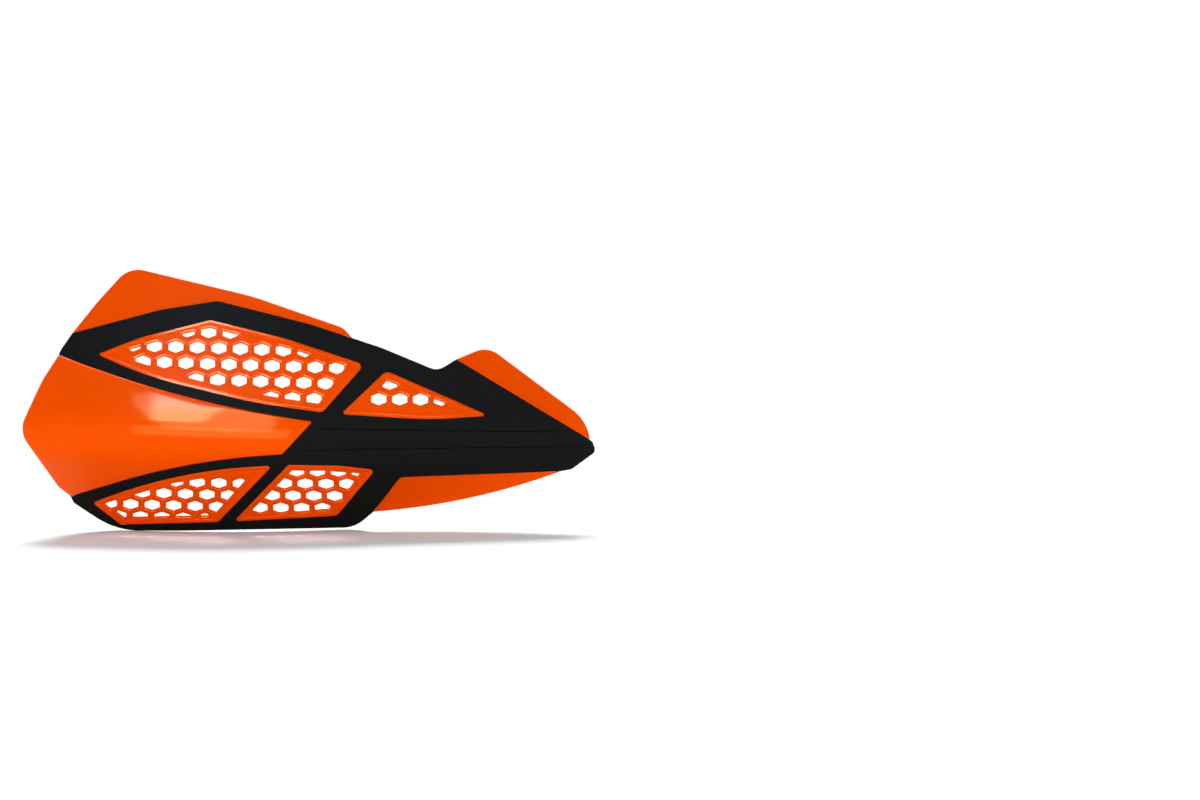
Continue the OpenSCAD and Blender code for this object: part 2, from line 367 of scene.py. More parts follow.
def resampled(points, step):
    """The same closed line with no piece longer than a step."""
    out = []
    for a, b in zip(points, points[1:] + points[:1]):
        count = max(1, math.ceil(np.linalg.norm(b - a) / step))
        out += [a + (b - a) * i / count for i in range(count)]
    return out


def anticlockwise(line):
    """Whether a closed line runs anticlockwise."""
    following = np.roll(line, -1, 0)
    return (line[:, 0] * following[:, 1] - line[:, 1] * following[:, 0]).sum() > 0


def outline(corners, step=STEP, share=ROUND_SHARE):
    """Closed line of points through a list of rounded corners, anticlockwise."""
    points = []
    for i, corner in enumerate(corners):
        points += rounded(corners[i - 1], corner, corners[(i + 1) % len(corners)], step, share)
    points = resampled(points, step)
    following = points[1:] + points[:1]
    line = np.array([p for p, q in zip(points, following) if np.linalg.norm(q - p) > SAME])
    return line if anticlockwise(line) else line[::-1]


def inside(points, line):
    """Which points lie inside a closed line."""
    x, y = points[:, :1], points[:, 1:]
    a, b = line, np.roll(line, -1, 0)
    crossings = np.zeros(len(points), int)
    for k in range(0, len(line), LINE_CHUNK):
        (ax, ay), (bx, by) = a[k:k + LINE_CHUNK].T, b[k:k + LINE_CHUNK].T
        crosses = (ay > y) != (by > y)
        with np.errstate(divide="ignore", invalid="ignore"):
            crossings += (crosses & (x < (bx - ax) * (y - ay) / (by - ay) + ax)).sum(1)
    return crossings % 2 == 1


def inward_normals(line):
    """Unit vector into an anticlockwise line at each of its points."""
    along = np.roll(line, -1, 0) - line
    edge = units(np.stack([-along[:, 1], along[:, 0]], 1))
    return units(edge + np.roll(edge, 1, 0))


def depth(points, line):
    """Distance from each point in from a closed line, and the way it grows. A line that runs
    anticlockwise has its inside within it, and one that runs clockwise has it without."""
    along = np.roll(line, -1, 0) - line
    length2 = (along ** 2).sum(1)
    corner = inward_normals(line)
    distance = np.empty(len(points))
    way = np.empty((len(points), 2))
    for k in range(0, len(points), POINT_CHUNK):
        part = slice(k, k + POINT_CHUNK)
        rel = points[part, None, :] - line[None]
        share = np.clip((rel * along).sum(2) / length2, 0, 1)
        gap = rel - share[..., None] * along
        d2 = (gap ** 2).sum(2)
        near = d2.argmin(1)
        rows = np.arange(len(near))
        distance[part] = np.sqrt(d2[rows, near])
        gap, share = gap[rows, near], share[rows, near]
        following = (near + 1) % len(line)
        way[part] = units(corner[near] * (1 - share)[:, None] + corner[following] * share[:, None])
        far = distance[part] > NEAR
        way[part][far] = gap[far] / distance[part][far, None]
    sign = np.where(inside(points, line) == anticlockwise(line), 1.0, -1.0)
    far = distance > NEAR
    way[far] *= sign[far, None]
    return distance * sign, way


# Distance from a line over which one that runs beside it is tested, and its largest share of error
SHALLOW = 0.1
RING_ERROR = 0.03


class Net:
    """Points and edges for one triangulation of the plane seen along the draw."""

    def __init__(self):
        self.points = []
        self.edges = []

    def ring(self, line, distance=0.0, where=None):
        """Adds the line that runs a distance in from a closed line, where it keeps its distance."""
        at = line + distance * inward_normals(line)
        keep = np.ones(len(at), bool)
        if abs(distance) > SHALLOW:
            error = abs(depth(at, line)[0] - distance)
            keep = error < NEAR + RING_ERROR * abs(distance)
        if where is not None:
            keep &= where(at)
        first = len(self.points)
        numbers = np.cumsum(keep) - 1 + first
        self.points += [tuple(p) for p in at[keep]]
        for i in range(len(at)):
            j = (i + 1) % len(at)
            if keep[i] and keep[j]:
                self.edges.append((int(numbers[i]), int(numbers[j])))

    def run(self, points):
        """Adds an open line of points."""
        first = len(self.points)
        self.points += [tuple(p) for p in points]
        self.edges += [(first + i, first + i + 1) for i in range(len(points) - 1)]

    def fill(self, points):
        """Adds loose points."""
        self.points += [tuple(p) for p in points]

    def triangles(self):
        """Points and anticlockwise triangles of the whole net."""
        given = [Vector(p) for p in self.points]
        points, _, faces, _, _, _ = delaunay_2d_cdt(given, self.edges, [], 0, MERGE)
        points = np.array([(p.x, p.y) for p in points])
        faces = np.array([tuple(f) for f in faces])
        a, b, c = points[faces[:, 0]], points[faces[:, 1]], points[faces[:, 2]]
        area = (b[:, 0] - a[:, 0]) * (c[:, 1] - a[:, 1]) - (b[:, 1] - a[:, 1]) * (c[:, 0] - a[:, 0])
        faces[area < 0] = faces[area < 0][:, ::-1]
        return points, faces[abs(area) > SLIVER]


def open_sides(faces):
    """Sides of triangles that no other triangle shares."""
    sides = {(int(f[i]), int(f[(i + 1) % 3])) for f in faces for i in range(3)}
    return [(a, b) for a, b in sides if (b, a) not in sides]


def boundary(lines, covered):
    """Closed lines round the part of the plane that a test covers, cut out along given lines."""
    net = Net()
    for line in lines:
        net.ring(line)
    points, faces = net.triangles()
    faces = faces[covered(points[faces].mean(1))]
    following = dict(open_sides(faces))
    loops = []
    while following:
        start = next(iter(following))
        loop, at = [start], following.pop(start)
        while at != start:
            loop.append(at)
            at = following.pop(at)
        kept = [points[loop[0]]]
        for i in loop[1:]:
            if np.linalg.norm(points[i] - kept[-1]) > MIN_SIDE:
                kept.append(points[i])
        loops.append(np.array(resampled(kept, STEP)))
    return sorted(loops, key=len, reverse=True)


def clipped(polygon, window):
    """Part of a convex polygon that lies inside a convex window whose corners run clockwise."""
    for i, a in enumerate(window):
        b = window[(i + 1) % len(window)]
        sides = [(b[1] - a[1]) * (p[0] - a[0]) - (b[0] - a[0]) * (p[1] - a[1]) for p in polygon]
        kept = []
        for p, q, sp, sq in zip(polygon, polygon[1:] + polygon[:1], sides, sides[1:] + sides[:1]):
            if sp >= 0:
                kept.append(p)
            if sp * sq < 0:
                kept.append(tuple(np.array(p) + (np.array(q) - p) * sp / (sp - sq)))
        polygon = kept
        if len(polygon) < 3:
            return []
    return polygon


def window_depth(window, p):
    """Distance from a point in from the nearest edge of a window that runs clockwise."""
    reach = []
    for i, a in enumerate(window):
        along = unit(np.array(window[(i + 1) % len(window)], float) - a)
        reach.append(along[1] * (p[0] - a[0]) - along[0] * (p[1] - a[1]))
    return min(reach)


def honeycomb():
    """Closed line round each opening of the four grilles."""
    lines = []
    for window, middle, fall, shift, close, facing, cell_h in grille_cells:
        turn = min(STEM_TURN, abs(math.asin((middle[0] + FRONT_REACH) / PLAN_R)))
        pitch = CELL_PITCH * math.cos(turn)
        row = CELL_PITCH * math.sqrt(3) / 2 * math.cos(facing) * close
        along, up = np.array([pitch, -pitch * fall]), np.array([pitch / 2 + shift, row])
        for j in range(-ROWS, ROWS + 1):
            for i in range(-COLUMNS, COLUMNS + 1):
                at = np.array(middle) + i * along + j * up
                if window_depth(window, at) <= SLIT * cell_h:
                    continue
                cell = [
                    (0, cell_h / 2), (CELL_W / 2, cell_h / 4), (CELL_W / 2, -cell_h / 4),
                    (0, -cell_h / 2), (-CELL_W / 2, -cell_h / 4), (-CELL_W / 2, cell_h / 4),
                ]
                cell = clipped([tuple(at + p) for p in cell], window)
                if cell:
                    corners = [(*p, HOLE_CORNER) for p in cell]
                    lines.append(outline(corners, HOLE_STEP, HOLE_ROUND_SHARE))
    return lines


def surface(points):
    """Height of each point above the face of the shell, and the direction in which it grows."""
    c, s = math.cos(KEEL_FALL), math.sin(KEEL_FALL)
    x, z = points[:, 0] * c - points[:, 2] * s, points[:, 0] * s + points[:, 2] * c
    dx, dy = x + FRONT_REACH, points[:, 1] - PLAN_Y
    turn = np.minimum(np.arctan2(dx, -dy), STEM_TURN)
    u = dx * np.sin(turn) - dy * np.cos(turn) - (PLAN_R - KEEL_R)
    w = z - KEEL_Z
    lean = np.clip(np.arctan2(w, u), -LOWER_LEAN, UPPER_LEAN)
    height = u * np.cos(lean) + w * np.sin(lean) - KEEL_R
    gx, gy, gz = np.cos(lean) * np.sin(turn), -np.cos(lean) * np.cos(turn), np.sin(lean)
    return height, np.stack([gx * c + gz * s, gy, gz * c - gx * s], 1)


def lifted(plane, height):
    """Points above places in the plane, at heights over the shell, and the surface's normals."""
    base = plane[:, :1] * ACROSS + plane[:, 1:] * UP
    out = np.full(len(plane), SEARCH_START)
    for _ in range(SEARCH_ROUNDS):
        value, normal = surface(base + out[:, None] * OUT)
        out -= (value - height) / (normal @ OUT)
    points = base + out[:, None] * OUT
    return points, surface(points)[1]


def drop(distance, radius):
    """How far a rounded edge lies below its face at a distance in from the edge, and its slope."""
    d = np.clip(distance, 0.0, radius)
    rise = np.sqrt(np.maximum(radius ** 2 - (radius - d) ** 2, 1e-9))
    slope = -np.minimum((radius - d) / rise, STEEPEST)
    return radius - rise, np.where(distance < radius, slope, 0.0)


def blend(distance, middle, half):
    """Smooth step from 0 to 1 about a middle, and its slope."""
    t = np.clip((distance - middle) / (2 * half) + 0.5, 0, 1)
    return t * t * (3 - 2 * t), 6 * t * (1 - t) / (2 * half)


def segment_distance(points, a, b):
    """Distance from points to a straight line, and the way it grows."""
    a, b = np.array(a, float), np.array(b, float)
    share = np.clip((points - a) @ (b - a) / ((b - a) @ (b - a)), 0, 1)
    gap = points - a - share[:, None] * (b - a)
    distance = np.linalg.norm(gap, axis=1)
    return distance, gap / np.maximum(distance, 1e-6)[:, None]


cover = outline(cover_corners)
panel = outline(panel_corners)
wing = outline(wing_corners)
fin = outline(fin_corners)
blade = outline(blade_corners)
grilles = [
    outline(upper_grille_corners),
    outline(stem_grille_corners),
    outline(outer_grille_corners),
    outline(inner_grille_corners),
]
fields = [cover, panel, wing, fin, blade]


def on_guard(at):
    """Which points lie on the guard."""
    return np.any([inside(at, line) for line in fields], 0)


whole = boundary(fields, on_guard)[0]
holes = honeycomb()

# Distance from the frame's outline from which the guard's edge has lines of its own, and the places
# of the lines over the crown, on a grille's rim, over a slope or a recess's, and across a groove
COVER_ROOM = 0.9
CROWN_SHARES = (0.33, 0.66, 1)
RIM_LINE = 0.3
SLOPE_SHARES = (-1, -0.5, 0, 0.5, 1)
RECESS_SHARES = (-1, 0, 1)
GROOVE_SHARES = (-0.5, -0.3, 0.0, 0.3, 0.5)


def off_cover(at):
    """Which points lie clear of the frame's outline."""
    return abs(depth(at, cover)[0]) > COVER_ROOM


def make_net():
    """The triangulation that the shell and the frame share."""
    net = Net()
    net.ring(whole)
    for share in EDGE_SHARES:
        net.ring(whole, share * OUTER_EDGE, off_cover)
        net.ring(cover, share * OUTER_EDGE)
        net.ring(panel, GAP + share * PANEL_EDGE)
    for distance in (WRAP_W - GAP, WRAP_W, WRAP_W + GAP):
        net.ring(whole, distance)
    net.ring(cover)
    net.ring(cover, -GAP)
    for share in CROWN_SHARES:
        net.ring(panel, share * CROWN_W)
    for line in [panel, *grilles]:
        for distance in (-GAP, 0.0, GAP):
            net.ring(line, distance)
        for share in EDGE_SHARES[1:]:
            net.ring(line, -GAP - share * INNER_EDGE)
    for line in grilles:
        net.ring(line, RIM_LINE)
        for share in SLOPE_SHARES:
            net.ring(line, RIM_W + share * RIM_SLOPE)
    for line in holes:
        net.ring(line)
        for share in EDGE_SHARES:
            net.ring(line, -share * HOLE_EDGE)
        for share in RECESS_SHARES:
            net.ring(line, -RECESS_W + share * RECESS_SLOPE)
    for a, b in grooves:
        a, b = np.array(a, float), np.array(b, float)
        side = unit(np.array([a[1] - b[1], b[0] - a[0]]))
        count = math.ceil(np.linalg.norm(b - a) / STEP)
        for share in GROOVE_SHARES:
            net.run([a + (b - a) * i / count + share * GROOVE_W * side for i in range(count + 1)])
    columns = np.arange(TAIL, NOSE, GRID)
    rows = np.arange(BASE, WING_H, GRID * math.sqrt(3) / 2)
    grid = np.array([(x + GRID / 2 * (j % 2), v) for j, v in enumerate(rows) for x in columns])
    grid = grid[inside(grid, whole)]
    used = np.array(net.points)
    room = np.array([np.hypot(*(used - p).T).min() for p in grid])
    net.fill(grid[room > GRID_ROOM * GRID])
    return net.triangles()


# Distance from an opening for points that are measured from none, and the reach of its measure
NO_HOLE = -99.0
HOLE_REACH = 1.5


def measure(points):
    """Distance in from each outline, and the way it grows, at each point."""
    m = {"whole": depth(points, whole), "cover": depth(points, cover)}
    m["panel"] = depth(points, panel)
    depths, ways = (np.array(part) for part in zip(*(depth(points, line) for line in grilles)))
    best, rows = depths.argmax(0), np.arange(len(points))
    m["grille"] = (depths[best, rows], ways[best, rows])
    near = m["grille"][0] > 0
    hole = np.full(len(points), NO_HOLE)
    way = np.zeros((len(points), 2))
    for line in holes:
        low, high = line.min(0) - HOLE_REACH, line.max(0) + HOLE_REACH
        mine = np.where(near & (points > low).all(1) & (points < high).all(1))[0]
        if len(mine):
            d, w = depth(points[mine], line)
            better = d > hole[mine]
            hole[mine[better]], way[mine[better]] = d[better], w[better]
    m["hole"] = (hole, way)
    return m


# Each of the four functions below takes points of the plane and their measures, and returns the
# height of a face over the shell and its slope


def shell_front(points, m):
    """The front of the orange shell."""
    height = np.zeros(len(points))
    slope = np.zeros((len(points), 2))
    (whole_d, whole_w), (panel_d, panel_w) = m["whole"], m["panel"]
    (grille_d, grille_w), (hole_d, hole_w) = m["grille"], m["hole"]
    in_panel, in_grille = panel_d > GAP_SHARE * GAP, grille_d > GAP_SHARE * GAP
    plain = ~in_panel & ~in_grille & (m["cover"][0] < COVER_EDGE_SHARE * OUTER_EDGE)
    fall, rate = drop(whole_d, OUTER_EDGE)
    height[plain] -= fall[plain]
    slope[plain] -= (rate[:, None] * whole_w)[plain]
    fall, rate = drop(panel_d - GAP, PANEL_EDGE)
    short = np.clip(1 - panel_d / CROWN_W, 0, 1)
    fall += CROWN_H * short ** 2
    rate -= 2 * CROWN_H / CROWN_W * short
    height[in_panel] = PANEL_T - fall[in_panel]
    slope[in_panel] = -(rate[:, None] * panel_w)[in_panel]
    step, rate = blend(grille_d, RIM_W, RIM_SLOPE)
    fall, hole_rate = drop(-hole_d, HOLE_EDGE)
    level, recess_rate = blend(-hole_d, RECESS_W, RECESS_SLOPE)
    fall += RECESS_D * (1 - level)
    hole_rate -= RECESS_D * recess_rate
    rim_slope = -(RIM_T - FIELD_T) * rate[:, None] * grille_w
    height[in_grille] = (RIM_T - (RIM_T - FIELD_T) * step - fall)[in_grille]
    slope[in_grille] = (rim_slope + hole_rate[:, None] * hole_w)[in_grille]
    return height, slope


def shell_back(_, m):
    """The back of the orange shell."""
    fall, rate = drop(m["whole"][0], BACK_EDGE)
    hole_fall, hole_rate = drop(-m["hole"][0], BACK_EDGE / 2)
    slope = rate[:, None] * m["whole"][1] - hole_rate[:, None] * m["hole"][1]
    return fall + hole_fall - SHELL_T, slope


def frame_front(points, m):
    """The front of the black frame."""
    fall, rate = drop(m["cover"][0], OUTER_EDGE)
    height = COVER_T - fall
    slope = -rate[:, None] * m["cover"][1]
    for d, way in (m["panel"], m["grille"]):
        fall, rate = drop(-d - GAP, INNER_EDGE)
        height -= fall
        slope += rate[:, None] * way
    for a, b in grooves:
        d, way = segment_distance(points, a, b)
        share, rate = blend(d, GROOVE_W / 4, GROOVE_W / 4)
        height -= GROOVE_D * (1 - share)
        slope += GROOVE_D * rate[:, None] * way
    return height, slope


def frame_back(_, m):
    """The back of the black frame, which lies on the shell and reaches its back round the edge."""
    fall, rate = drop(m["cover"][0], BACK_EDGE)
    through = m["whole"][0] < WRAP_W - GAP_SHARE * GAP
    height = np.where(through, fall - SHELL_T, SEAT)
    return height, np.where(through[:, None], rate[:, None] * m["cover"][1], 0.0)


def renumbered(points, faces):
    """The points that faces use, their numbers, and the faces with new numbers."""
    used, faces = np.unique(faces, return_inverse=True)
    return points[used], used, faces.reshape(-1, 3)


def slab(points, faces, m, front, back):
    """Closed mesh between a front and a back: points, triangles and a normal for each point."""
    plane, used, faces = renumbered(points, faces)
    m = {k: (d[used], w[used]) for k, (d, w) in m.items()}
    layers, normals = [], []
    for height_of, sign in ((front, 1.0), (back, -1.0)):
        height, slope = height_of(plane, m)
        at, normal = lifted(plane, height)
        normal = sign * (normal - slope[:, :1] * ACROSS - slope[:, 1:] * UP)
        layers.append(at)
        normals.append(units(normal))
    return closed(layers, faces, normals)


def closed(layers, faces, normals):
    """Closes two layers of the same triangles, front and back, with walls along their edge."""
    count = len(layers[0])
    walls = []
    for a, b in open_sides(faces):
        walls += [(b, a, a + count), (b, a + count, b + count)]
    triangles = np.concatenate([faces, faces[:, ::-1] + count, np.array(walls).reshape(-1, 3)])
    return np.concatenate(layers), triangles, np.concatenate(normals)


def rectangle(w, h):
    """Closed line round a rectangle about the origin."""
    corners = ((-1, -1), (1, -1), (1, 1), (-1, 1))
    return outline([(x * w / 2, v * h / 2, 0) for x, v in corners], BOX_STEP)


def turns(count):
    """Angles of points spread evenly round a circle."""
    return np.arange(count) * 2 * math.pi / count


def circle(x, radius):
    """Closed line round a circle on the X axis."""
    angles = turns(CIRCLE_SIDES)
    return np.stack([x + radius * np.cos(angles), radius * np.sin(angles)], 1)


def mount_box():
    """The walls and bosses behind the stem, from their rear face into the wall of the shell."""
    length = MOUNT_PITCH + 2 * BOX_END
    centres = (-MOUNT_PITCH / 2, MOUNT_PITCH / 2)
    outside = rectangle(length, BOX_H)
    hollow = rectangle(length - 2 * BOX_WALL, BOX_H - 2 * BOX_WALL)
    beams = [rectangle(length, BOX_WALL), rectangle(BOX_WALL, BOX_H)]
    bosses = [circle(x, BOSS_R) for x in centres]
    # Both sides of each step in a bore, and a line on its bottom
    bores = [r + side * MERGE * 2 for r in (INSERT_R, RELIEF_R) for side in (1, -1)]
    bores.append(BORE_LINE)

    def covered(at):
        """Which points lie on a wall or a boss."""
        solid = ~inside(at, hollow)
        for line in beams + bosses:
            solid |= inside(at, line)
        return solid & inside(at, outside)

    loops = boundary([outside, hollow, *beams, *bosses], covered)
    net = Net()
    for line in loops:
        for share in (0, *EDGE_SHARES):
            net.ring(line, share * BACK_EDGE)
    for x in centres:
        for radius in bores:
            net.ring(circle(x, radius))
    points, faces = net.triangles()
    plane, _, faces = renumbered(points, faces[covered(points[faces].mean(1))])
    edge, way = depth(plane, loops[0])
    for line in loops[1:]:
        d, w = depth(plane, line)
        nearer = d < edge
        edge[nearer], way[nearer] = d[nearer], w[nearer]
    fall, rate = drop(edge, BACK_EDGE)
    reach = np.min([np.hypot(plane[:, 0] - x, plane[:, 1]) for x in centres], 0)
    rear = -fall
    rear[reach < INSERT_R] = -INSERT_L
    rear[reach < RELIEF_R] = -INSERT_L - RELIEF_L
    at = np.stack([plane[:, 0], rear, plane[:, 1]], 1)
    normal = np.stack([rate * way[:, 0], np.ones(len(plane)), rate * way[:, 1]], 1)
    front = at * [1, 0, 1] + [0, BOX_SEARCH_START, 0]
    for _ in range(SEARCH_ROUNDS):
        value, gradient = surface(front)
        front[:, 1] -= (value + SHELL_T / 2) / gradient[:, 1]
    return closed([front, at], faces, [surface(front)[1], units(normal)])


# Outside of an insert as (y, radius), from its inner end to the mounting face
insert_profile = [
    (-INSERT_L, 3.9),
    (0.35 - INSERT_L, INSERT_R - INSERT_GAP),
    (-0.15, INSERT_R - INSERT_GAP),
    (0.0, 4.15),
]


def insert_mesh():
    """A threaded insert on the Y axis, flush with the mounting face."""
    rows = np.linspace(0, -INSERT_L, int(THREAD_ROWS_PER_MM * INSERT_L) + 1)
    angles = turns(THREAD_SIDES)
    wave = abs((rows[:, None] / THREAD_PITCH + angles / (2 * math.pi)) % 1.0 - 0.5) * 2
    groove = np.clip(FLANK_START - FLANK_FALL * wave, 0, 1)
    inner = THREAD_CREST + (THREAD_ROOT - THREAD_CREST) * groove
    lead = THREAD_ROOT + THREAD_LEAD - np.minimum(-rows, rows + INSERT_L)
    inner = np.maximum(inner, lead[:, None])
    radii = np.concatenate([inner, [[r] * THREAD_SIDES for _, r in insert_profile]])
    depths = np.concatenate([rows, [y for y, _ in insert_profile]])
    along = np.repeat(depths[:, None], THREAD_SIDES, 1)
    points = np.stack([radii * np.cos(angles), along, radii * np.sin(angles)], 2)
    number = np.arange(along.size).reshape(along.shape)
    a, b = number, np.roll(number, -1, 0)
    c, d = np.roll(b, -1, 1), np.roll(a, -1, 1)
    quads = np.stack([a, b, c, d], 2).reshape(-1, 4)
    return points.reshape(-1, 3), np.concatenate([quads[:, [0, 1, 2]], quads[:, [0, 2, 3]]])


# Angles beyond which an edge is sharp, the first as its cosine, and the least length that a
# triangle's normal is divided by
CREASE = math.cos(math.radians(42))
INSERT_CREASE = math.radians(25)
LEAST_NORMAL = 1e-12


def corner_normals(corners, triangles, smooth):
    """Normal of each triangle's corners: smooth where the face agrees, else the face's own."""
    a, b, c = (corners[triangles[:, i]] for i in range(3))
    face = np.cross(b - a, c - a)
    face /= np.maximum(np.linalg.norm(face, axis=1), LEAST_NORMAL)[:, None]
    loops = smooth[triangles]
    agree = (loops * face[:, None]).sum(2) > CREASE
    return np.where(agree[..., None], loops, face[:, None])


def linked(name, data):
    """A new object in the scene."""
    new = bpy.data.objects.new(name, data)
    bpy.context.scene.collection.objects.link(new)
    return new


def make_object(name, corners, triangles, smooth, materials, chosen=None):
    """Mesh object in metres, with a normal for each corner and a material for each triangle."""
    mesh = bpy.data.meshes.new(name)
    mesh.vertices.add(len(corners))
    mesh.vertices.foreach_set("co", (corners * MM).astype(np.float32).ravel())
    mesh.loops.add(3 * len(triangles))
    mesh.loops.foreach_set("vertex_index", triangles.astype(np.int32).ravel())
    mesh.polygons.add(len(triangles))
    mesh.polygons.foreach_set("loop_start", np.arange(0, 3 * len(triangles), 3, dtype=np.int32))
    mesh.polygons.foreach_set("loop_total", np.full(len(triangles), 3, dtype=np.int32))
    mesh.polygons.foreach_set("use_smooth", np.ones(len(triangles), bool))
    for material in materials:
        mesh.materials.append(material)
    if chosen is not None:
        mesh.polygons.foreach_set("material_index", chosen.astype(np.int32))
    mesh.update(calc_edges=True)
    normals = corner_normals(corners, triangles, smooth)
    mesh.normals_split_custom_set([tuple(n) for n in normals.reshape(-1, 3)])
    return linked(name, mesh)


# Broad noise of a plastic, per metre and with its detail, and its effect on the colour
PATCH_SCALE = 35.0
PATCH_DETAIL = 3.0
TINTS = (("A", 0.97), ("B", 1.03))
GRAIN_DETAIL = 2.0


def new_material(name):
    """A material, its nodes and links, and its shader."""
    material = bpy.data.materials.new(name)
    material.use_nodes = True
    nodes, links = material.node_tree.nodes, material.node_tree.links
    return material, nodes, links, nodes["Principled BSDF"]


def add_node(nodes, kind, values):
    """A new node with values on its inputs."""
    node = nodes.new(kind)
    for socket, value in values.items():
        node.inputs[socket].default_value = value
    return node


def noise(nodes, links, scale, detail):
    """Noise that is fixed in space, with its scale per metre."""
    place = nodes.new("ShaderNodeNewGeometry")
    texture = add_node(nodes, "ShaderNodeTexNoise", {"Scale": scale, "Detail": detail})
    links.new(place.outputs["Position"], texture.inputs["Vector"])
    return texture.outputs["Fac"]


def vary_roughness(nodes, links, shader, value, low, high):
    """Lets a value from 0 to 1 set the roughness."""
    rough = add_node(nodes, "ShaderNodeMapRange", {"To Min": low, "To Max": high})
    links.new(value, rough.inputs["Value"])
    links.new(rough.outputs["Result"], shader.inputs["Roughness"])


def add_grain(nodes, links, shader, value, strength, height):
    """Lets a value from 0 to 1 raise the surface, by at most a height in millimetres."""
    bump = add_node(nodes, "ShaderNodeBump", {"Strength": strength, "Distance": height * MM})
    links.new(value, bump.inputs["Height"])
    links.new(bump.outputs["Normal"], shader.inputs["Normal"])


def mixed(nodes, links, share, first, second):
    """The first shader where the share is 0, and the second where it is 1."""
    mix = nodes.new("ShaderNodeMixShader")
    links.new(share, mix.inputs["Fac"])
    links.new(first, mix.inputs[1])
    links.new(second, mix.inputs[2])
    return mix.outputs[0]


def plastic(name, colour, sheen, specular, roughness, spread, grain, grain_size):
    """Moulded plastic: a colour that hardly varies, a roughness that does, and a fine grain."""
    material, nodes, links, shader = new_material(name)
    broad = noise(nodes, links, PATCH_SCALE, PATCH_DETAIL)
    vary_roughness(nodes, links, shader, broad, roughness - spread, roughness + spread)
    tint = nodes.new("ShaderNodeMix")
    tint.data_type = "RGBA"
    for socket, share in TINTS:
        tint.inputs[socket].default_value = (*[min(1.0, share * c) for c in colour], 1)
    links.new(broad, tint.inputs["Factor"])
    links.new(tint.outputs["Result"], shader.inputs["Base Color"])
    fine = noise(nodes, links, 1.0 / (grain_size * MM), GRAIN_DETAIL)
    add_grain(nodes, links, shader, fine, 1.0, grain)
    shader.inputs["Specular IOR Level"].default_value = specular
    shader.inputs["Specular Tint"].default_value = (*sheen, 1)
    return material


panel_orange = plastic(
    "panel_orange", colour=(0.90, 0.078, 0.0), sheen=(1.0, 0.5, 0.12), specular=0.12,
    roughness=0.1, spread=0.015, grain=0.001, grain_size=0.6,
)
step_orange = plastic(
    "step_orange", colour=(0.90, 0.078, 0.0), sheen=(1.0, 0.5, 0.15), specular=0.6,
    roughness=0.25, spread=0.02, grain=0.002, grain_size=0.4,
)
satin_orange = plastic(
    "satin_orange", colour=(0.87, 0.074, 0.0), sheen=(1.0, 0.5, 0.12), specular=0.005,
    roughness=0.4, spread=0.04, grain=0.008, grain_size=0.35,
)
grille_orange = plastic(
    "grille_orange", colour=(0.90, 0.076, 0.0), sheen=(1.0, 0.5, 0.15), specular=0.008,
    roughness=0.25, spread=0.03, grain=0.004, grain_size=0.35,
)
satin_black = plastic(
    "satin_black", colour=(0.0098, 0.0094, 0.009), sheen=(1.0, 1.0, 1.0), specular=0.003,
    roughness=0.45, spread=0.05, grain=0.02, grain_size=0.3,
)


def brass():
    """Turned brass."""
    material, nodes, links, shader = new_material("brass")
    turned = noise(nodes, links, scale=900.0, detail=GRAIN_DETAIL)
    vary_roughness(nodes, links, shader, turned, low=0.22, high=0.38)
    add_grain(nodes, links, shader, turned, strength=0.6, height=0.01)
    shader.inputs["Base Color"].default_value = (0.71, 0.49, 0.20, 1)
    shader.inputs["Metallic"].default_value = 1.0
    return material


net_points, net_faces = make_net()
distances = measure(net_points)
middles = net_points[net_faces].mean(1)
at_middle = measure(middles)
whole_m, cover_m, panel_m = (at_middle[k][0] for k in ("whole", "cover", "panel"))
grille_m, hole_m = at_middle["grille"][0], at_middle["hole"][0]

framed = np.minimum.reduce([cover_m, -panel_m, -grille_m, WRAP_W - whole_m])
clear = -MIDDLE_SHARE * GAP
in_shell = (whole_m > 0) & (framed < clear) & (hole_m < 0)
in_frame = (whole_m > 0) & (cover_m > 0) & (panel_m < clear) & (grille_m < clear)

# The rim of each grille is as glossy as the panel. The step round each opening is glossier still on
# the side that faces the front: above the upper openings and below the lower ones. There the way
# into the opening points down or up by at least this share.
FACES_FRONT = 0.3
glossy = (panel_m > 0) | (grille_m > 0) & (grille_m < RIM_W + RIM_SLOPE)
facing = at_middle["hole"][1][:, 1] * np.where(middles[:, 1] > 0, -1, 1) > FACES_FRONT
step = (grille_m > 0) & facing & (np.abs(hole_m + RECESS_W) < RECESS_SLOPE)
oranges = [satin_orange, panel_orange, grille_orange, step_orange]
front_orange = np.where(glossy, 1, np.where(step, 3, np.where(grille_m > 0, 2, 0)))[in_shell]

shell_mesh = slab(net_points, net_faces[in_shell], distances, shell_front, shell_back)
chosen = np.zeros(len(shell_mesh[1]), int)
chosen[:len(front_orange)] = front_orange
shell = make_object("shell_skin", *shell_mesh, oranges, chosen)
box = make_object("mount_box", *mount_box(), [satin_orange])
for piece in (shell, box):
    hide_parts("shell")
    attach(piece, "root")

frame_mesh = slab(net_points, net_faces[in_frame], distances, frame_front, frame_back)
cover_piece = make_object("frame_skin", *frame_mesh, [satin_black])
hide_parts("frame")
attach(cover_piece, "root")

brass_metal = brass()
for name, x in (("insert_outer", -MOUNT_PITCH / 2), ("insert_inner", MOUNT_PITCH / 2)):
    points, triangles = insert_mesh()
    mesh = bpy.data.meshes.new(name + "_turned")
    corners = [tuple(p) for p in (points + [x, 0, 0]) * MM]
    mesh.from_pydata(corners, [], [tuple(int(i) for i in t) for t in triangles])
    mesh.materials.append(brass_metal)
    mesh.polygons.foreach_set("use_smooth", np.ones(len(triangles), bool))
    mesh.set_sharp_from_angle(angle=INSERT_CREASE)
    insert = linked(name + "_turned", mesh)
    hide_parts(name)
    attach(insert, "root")

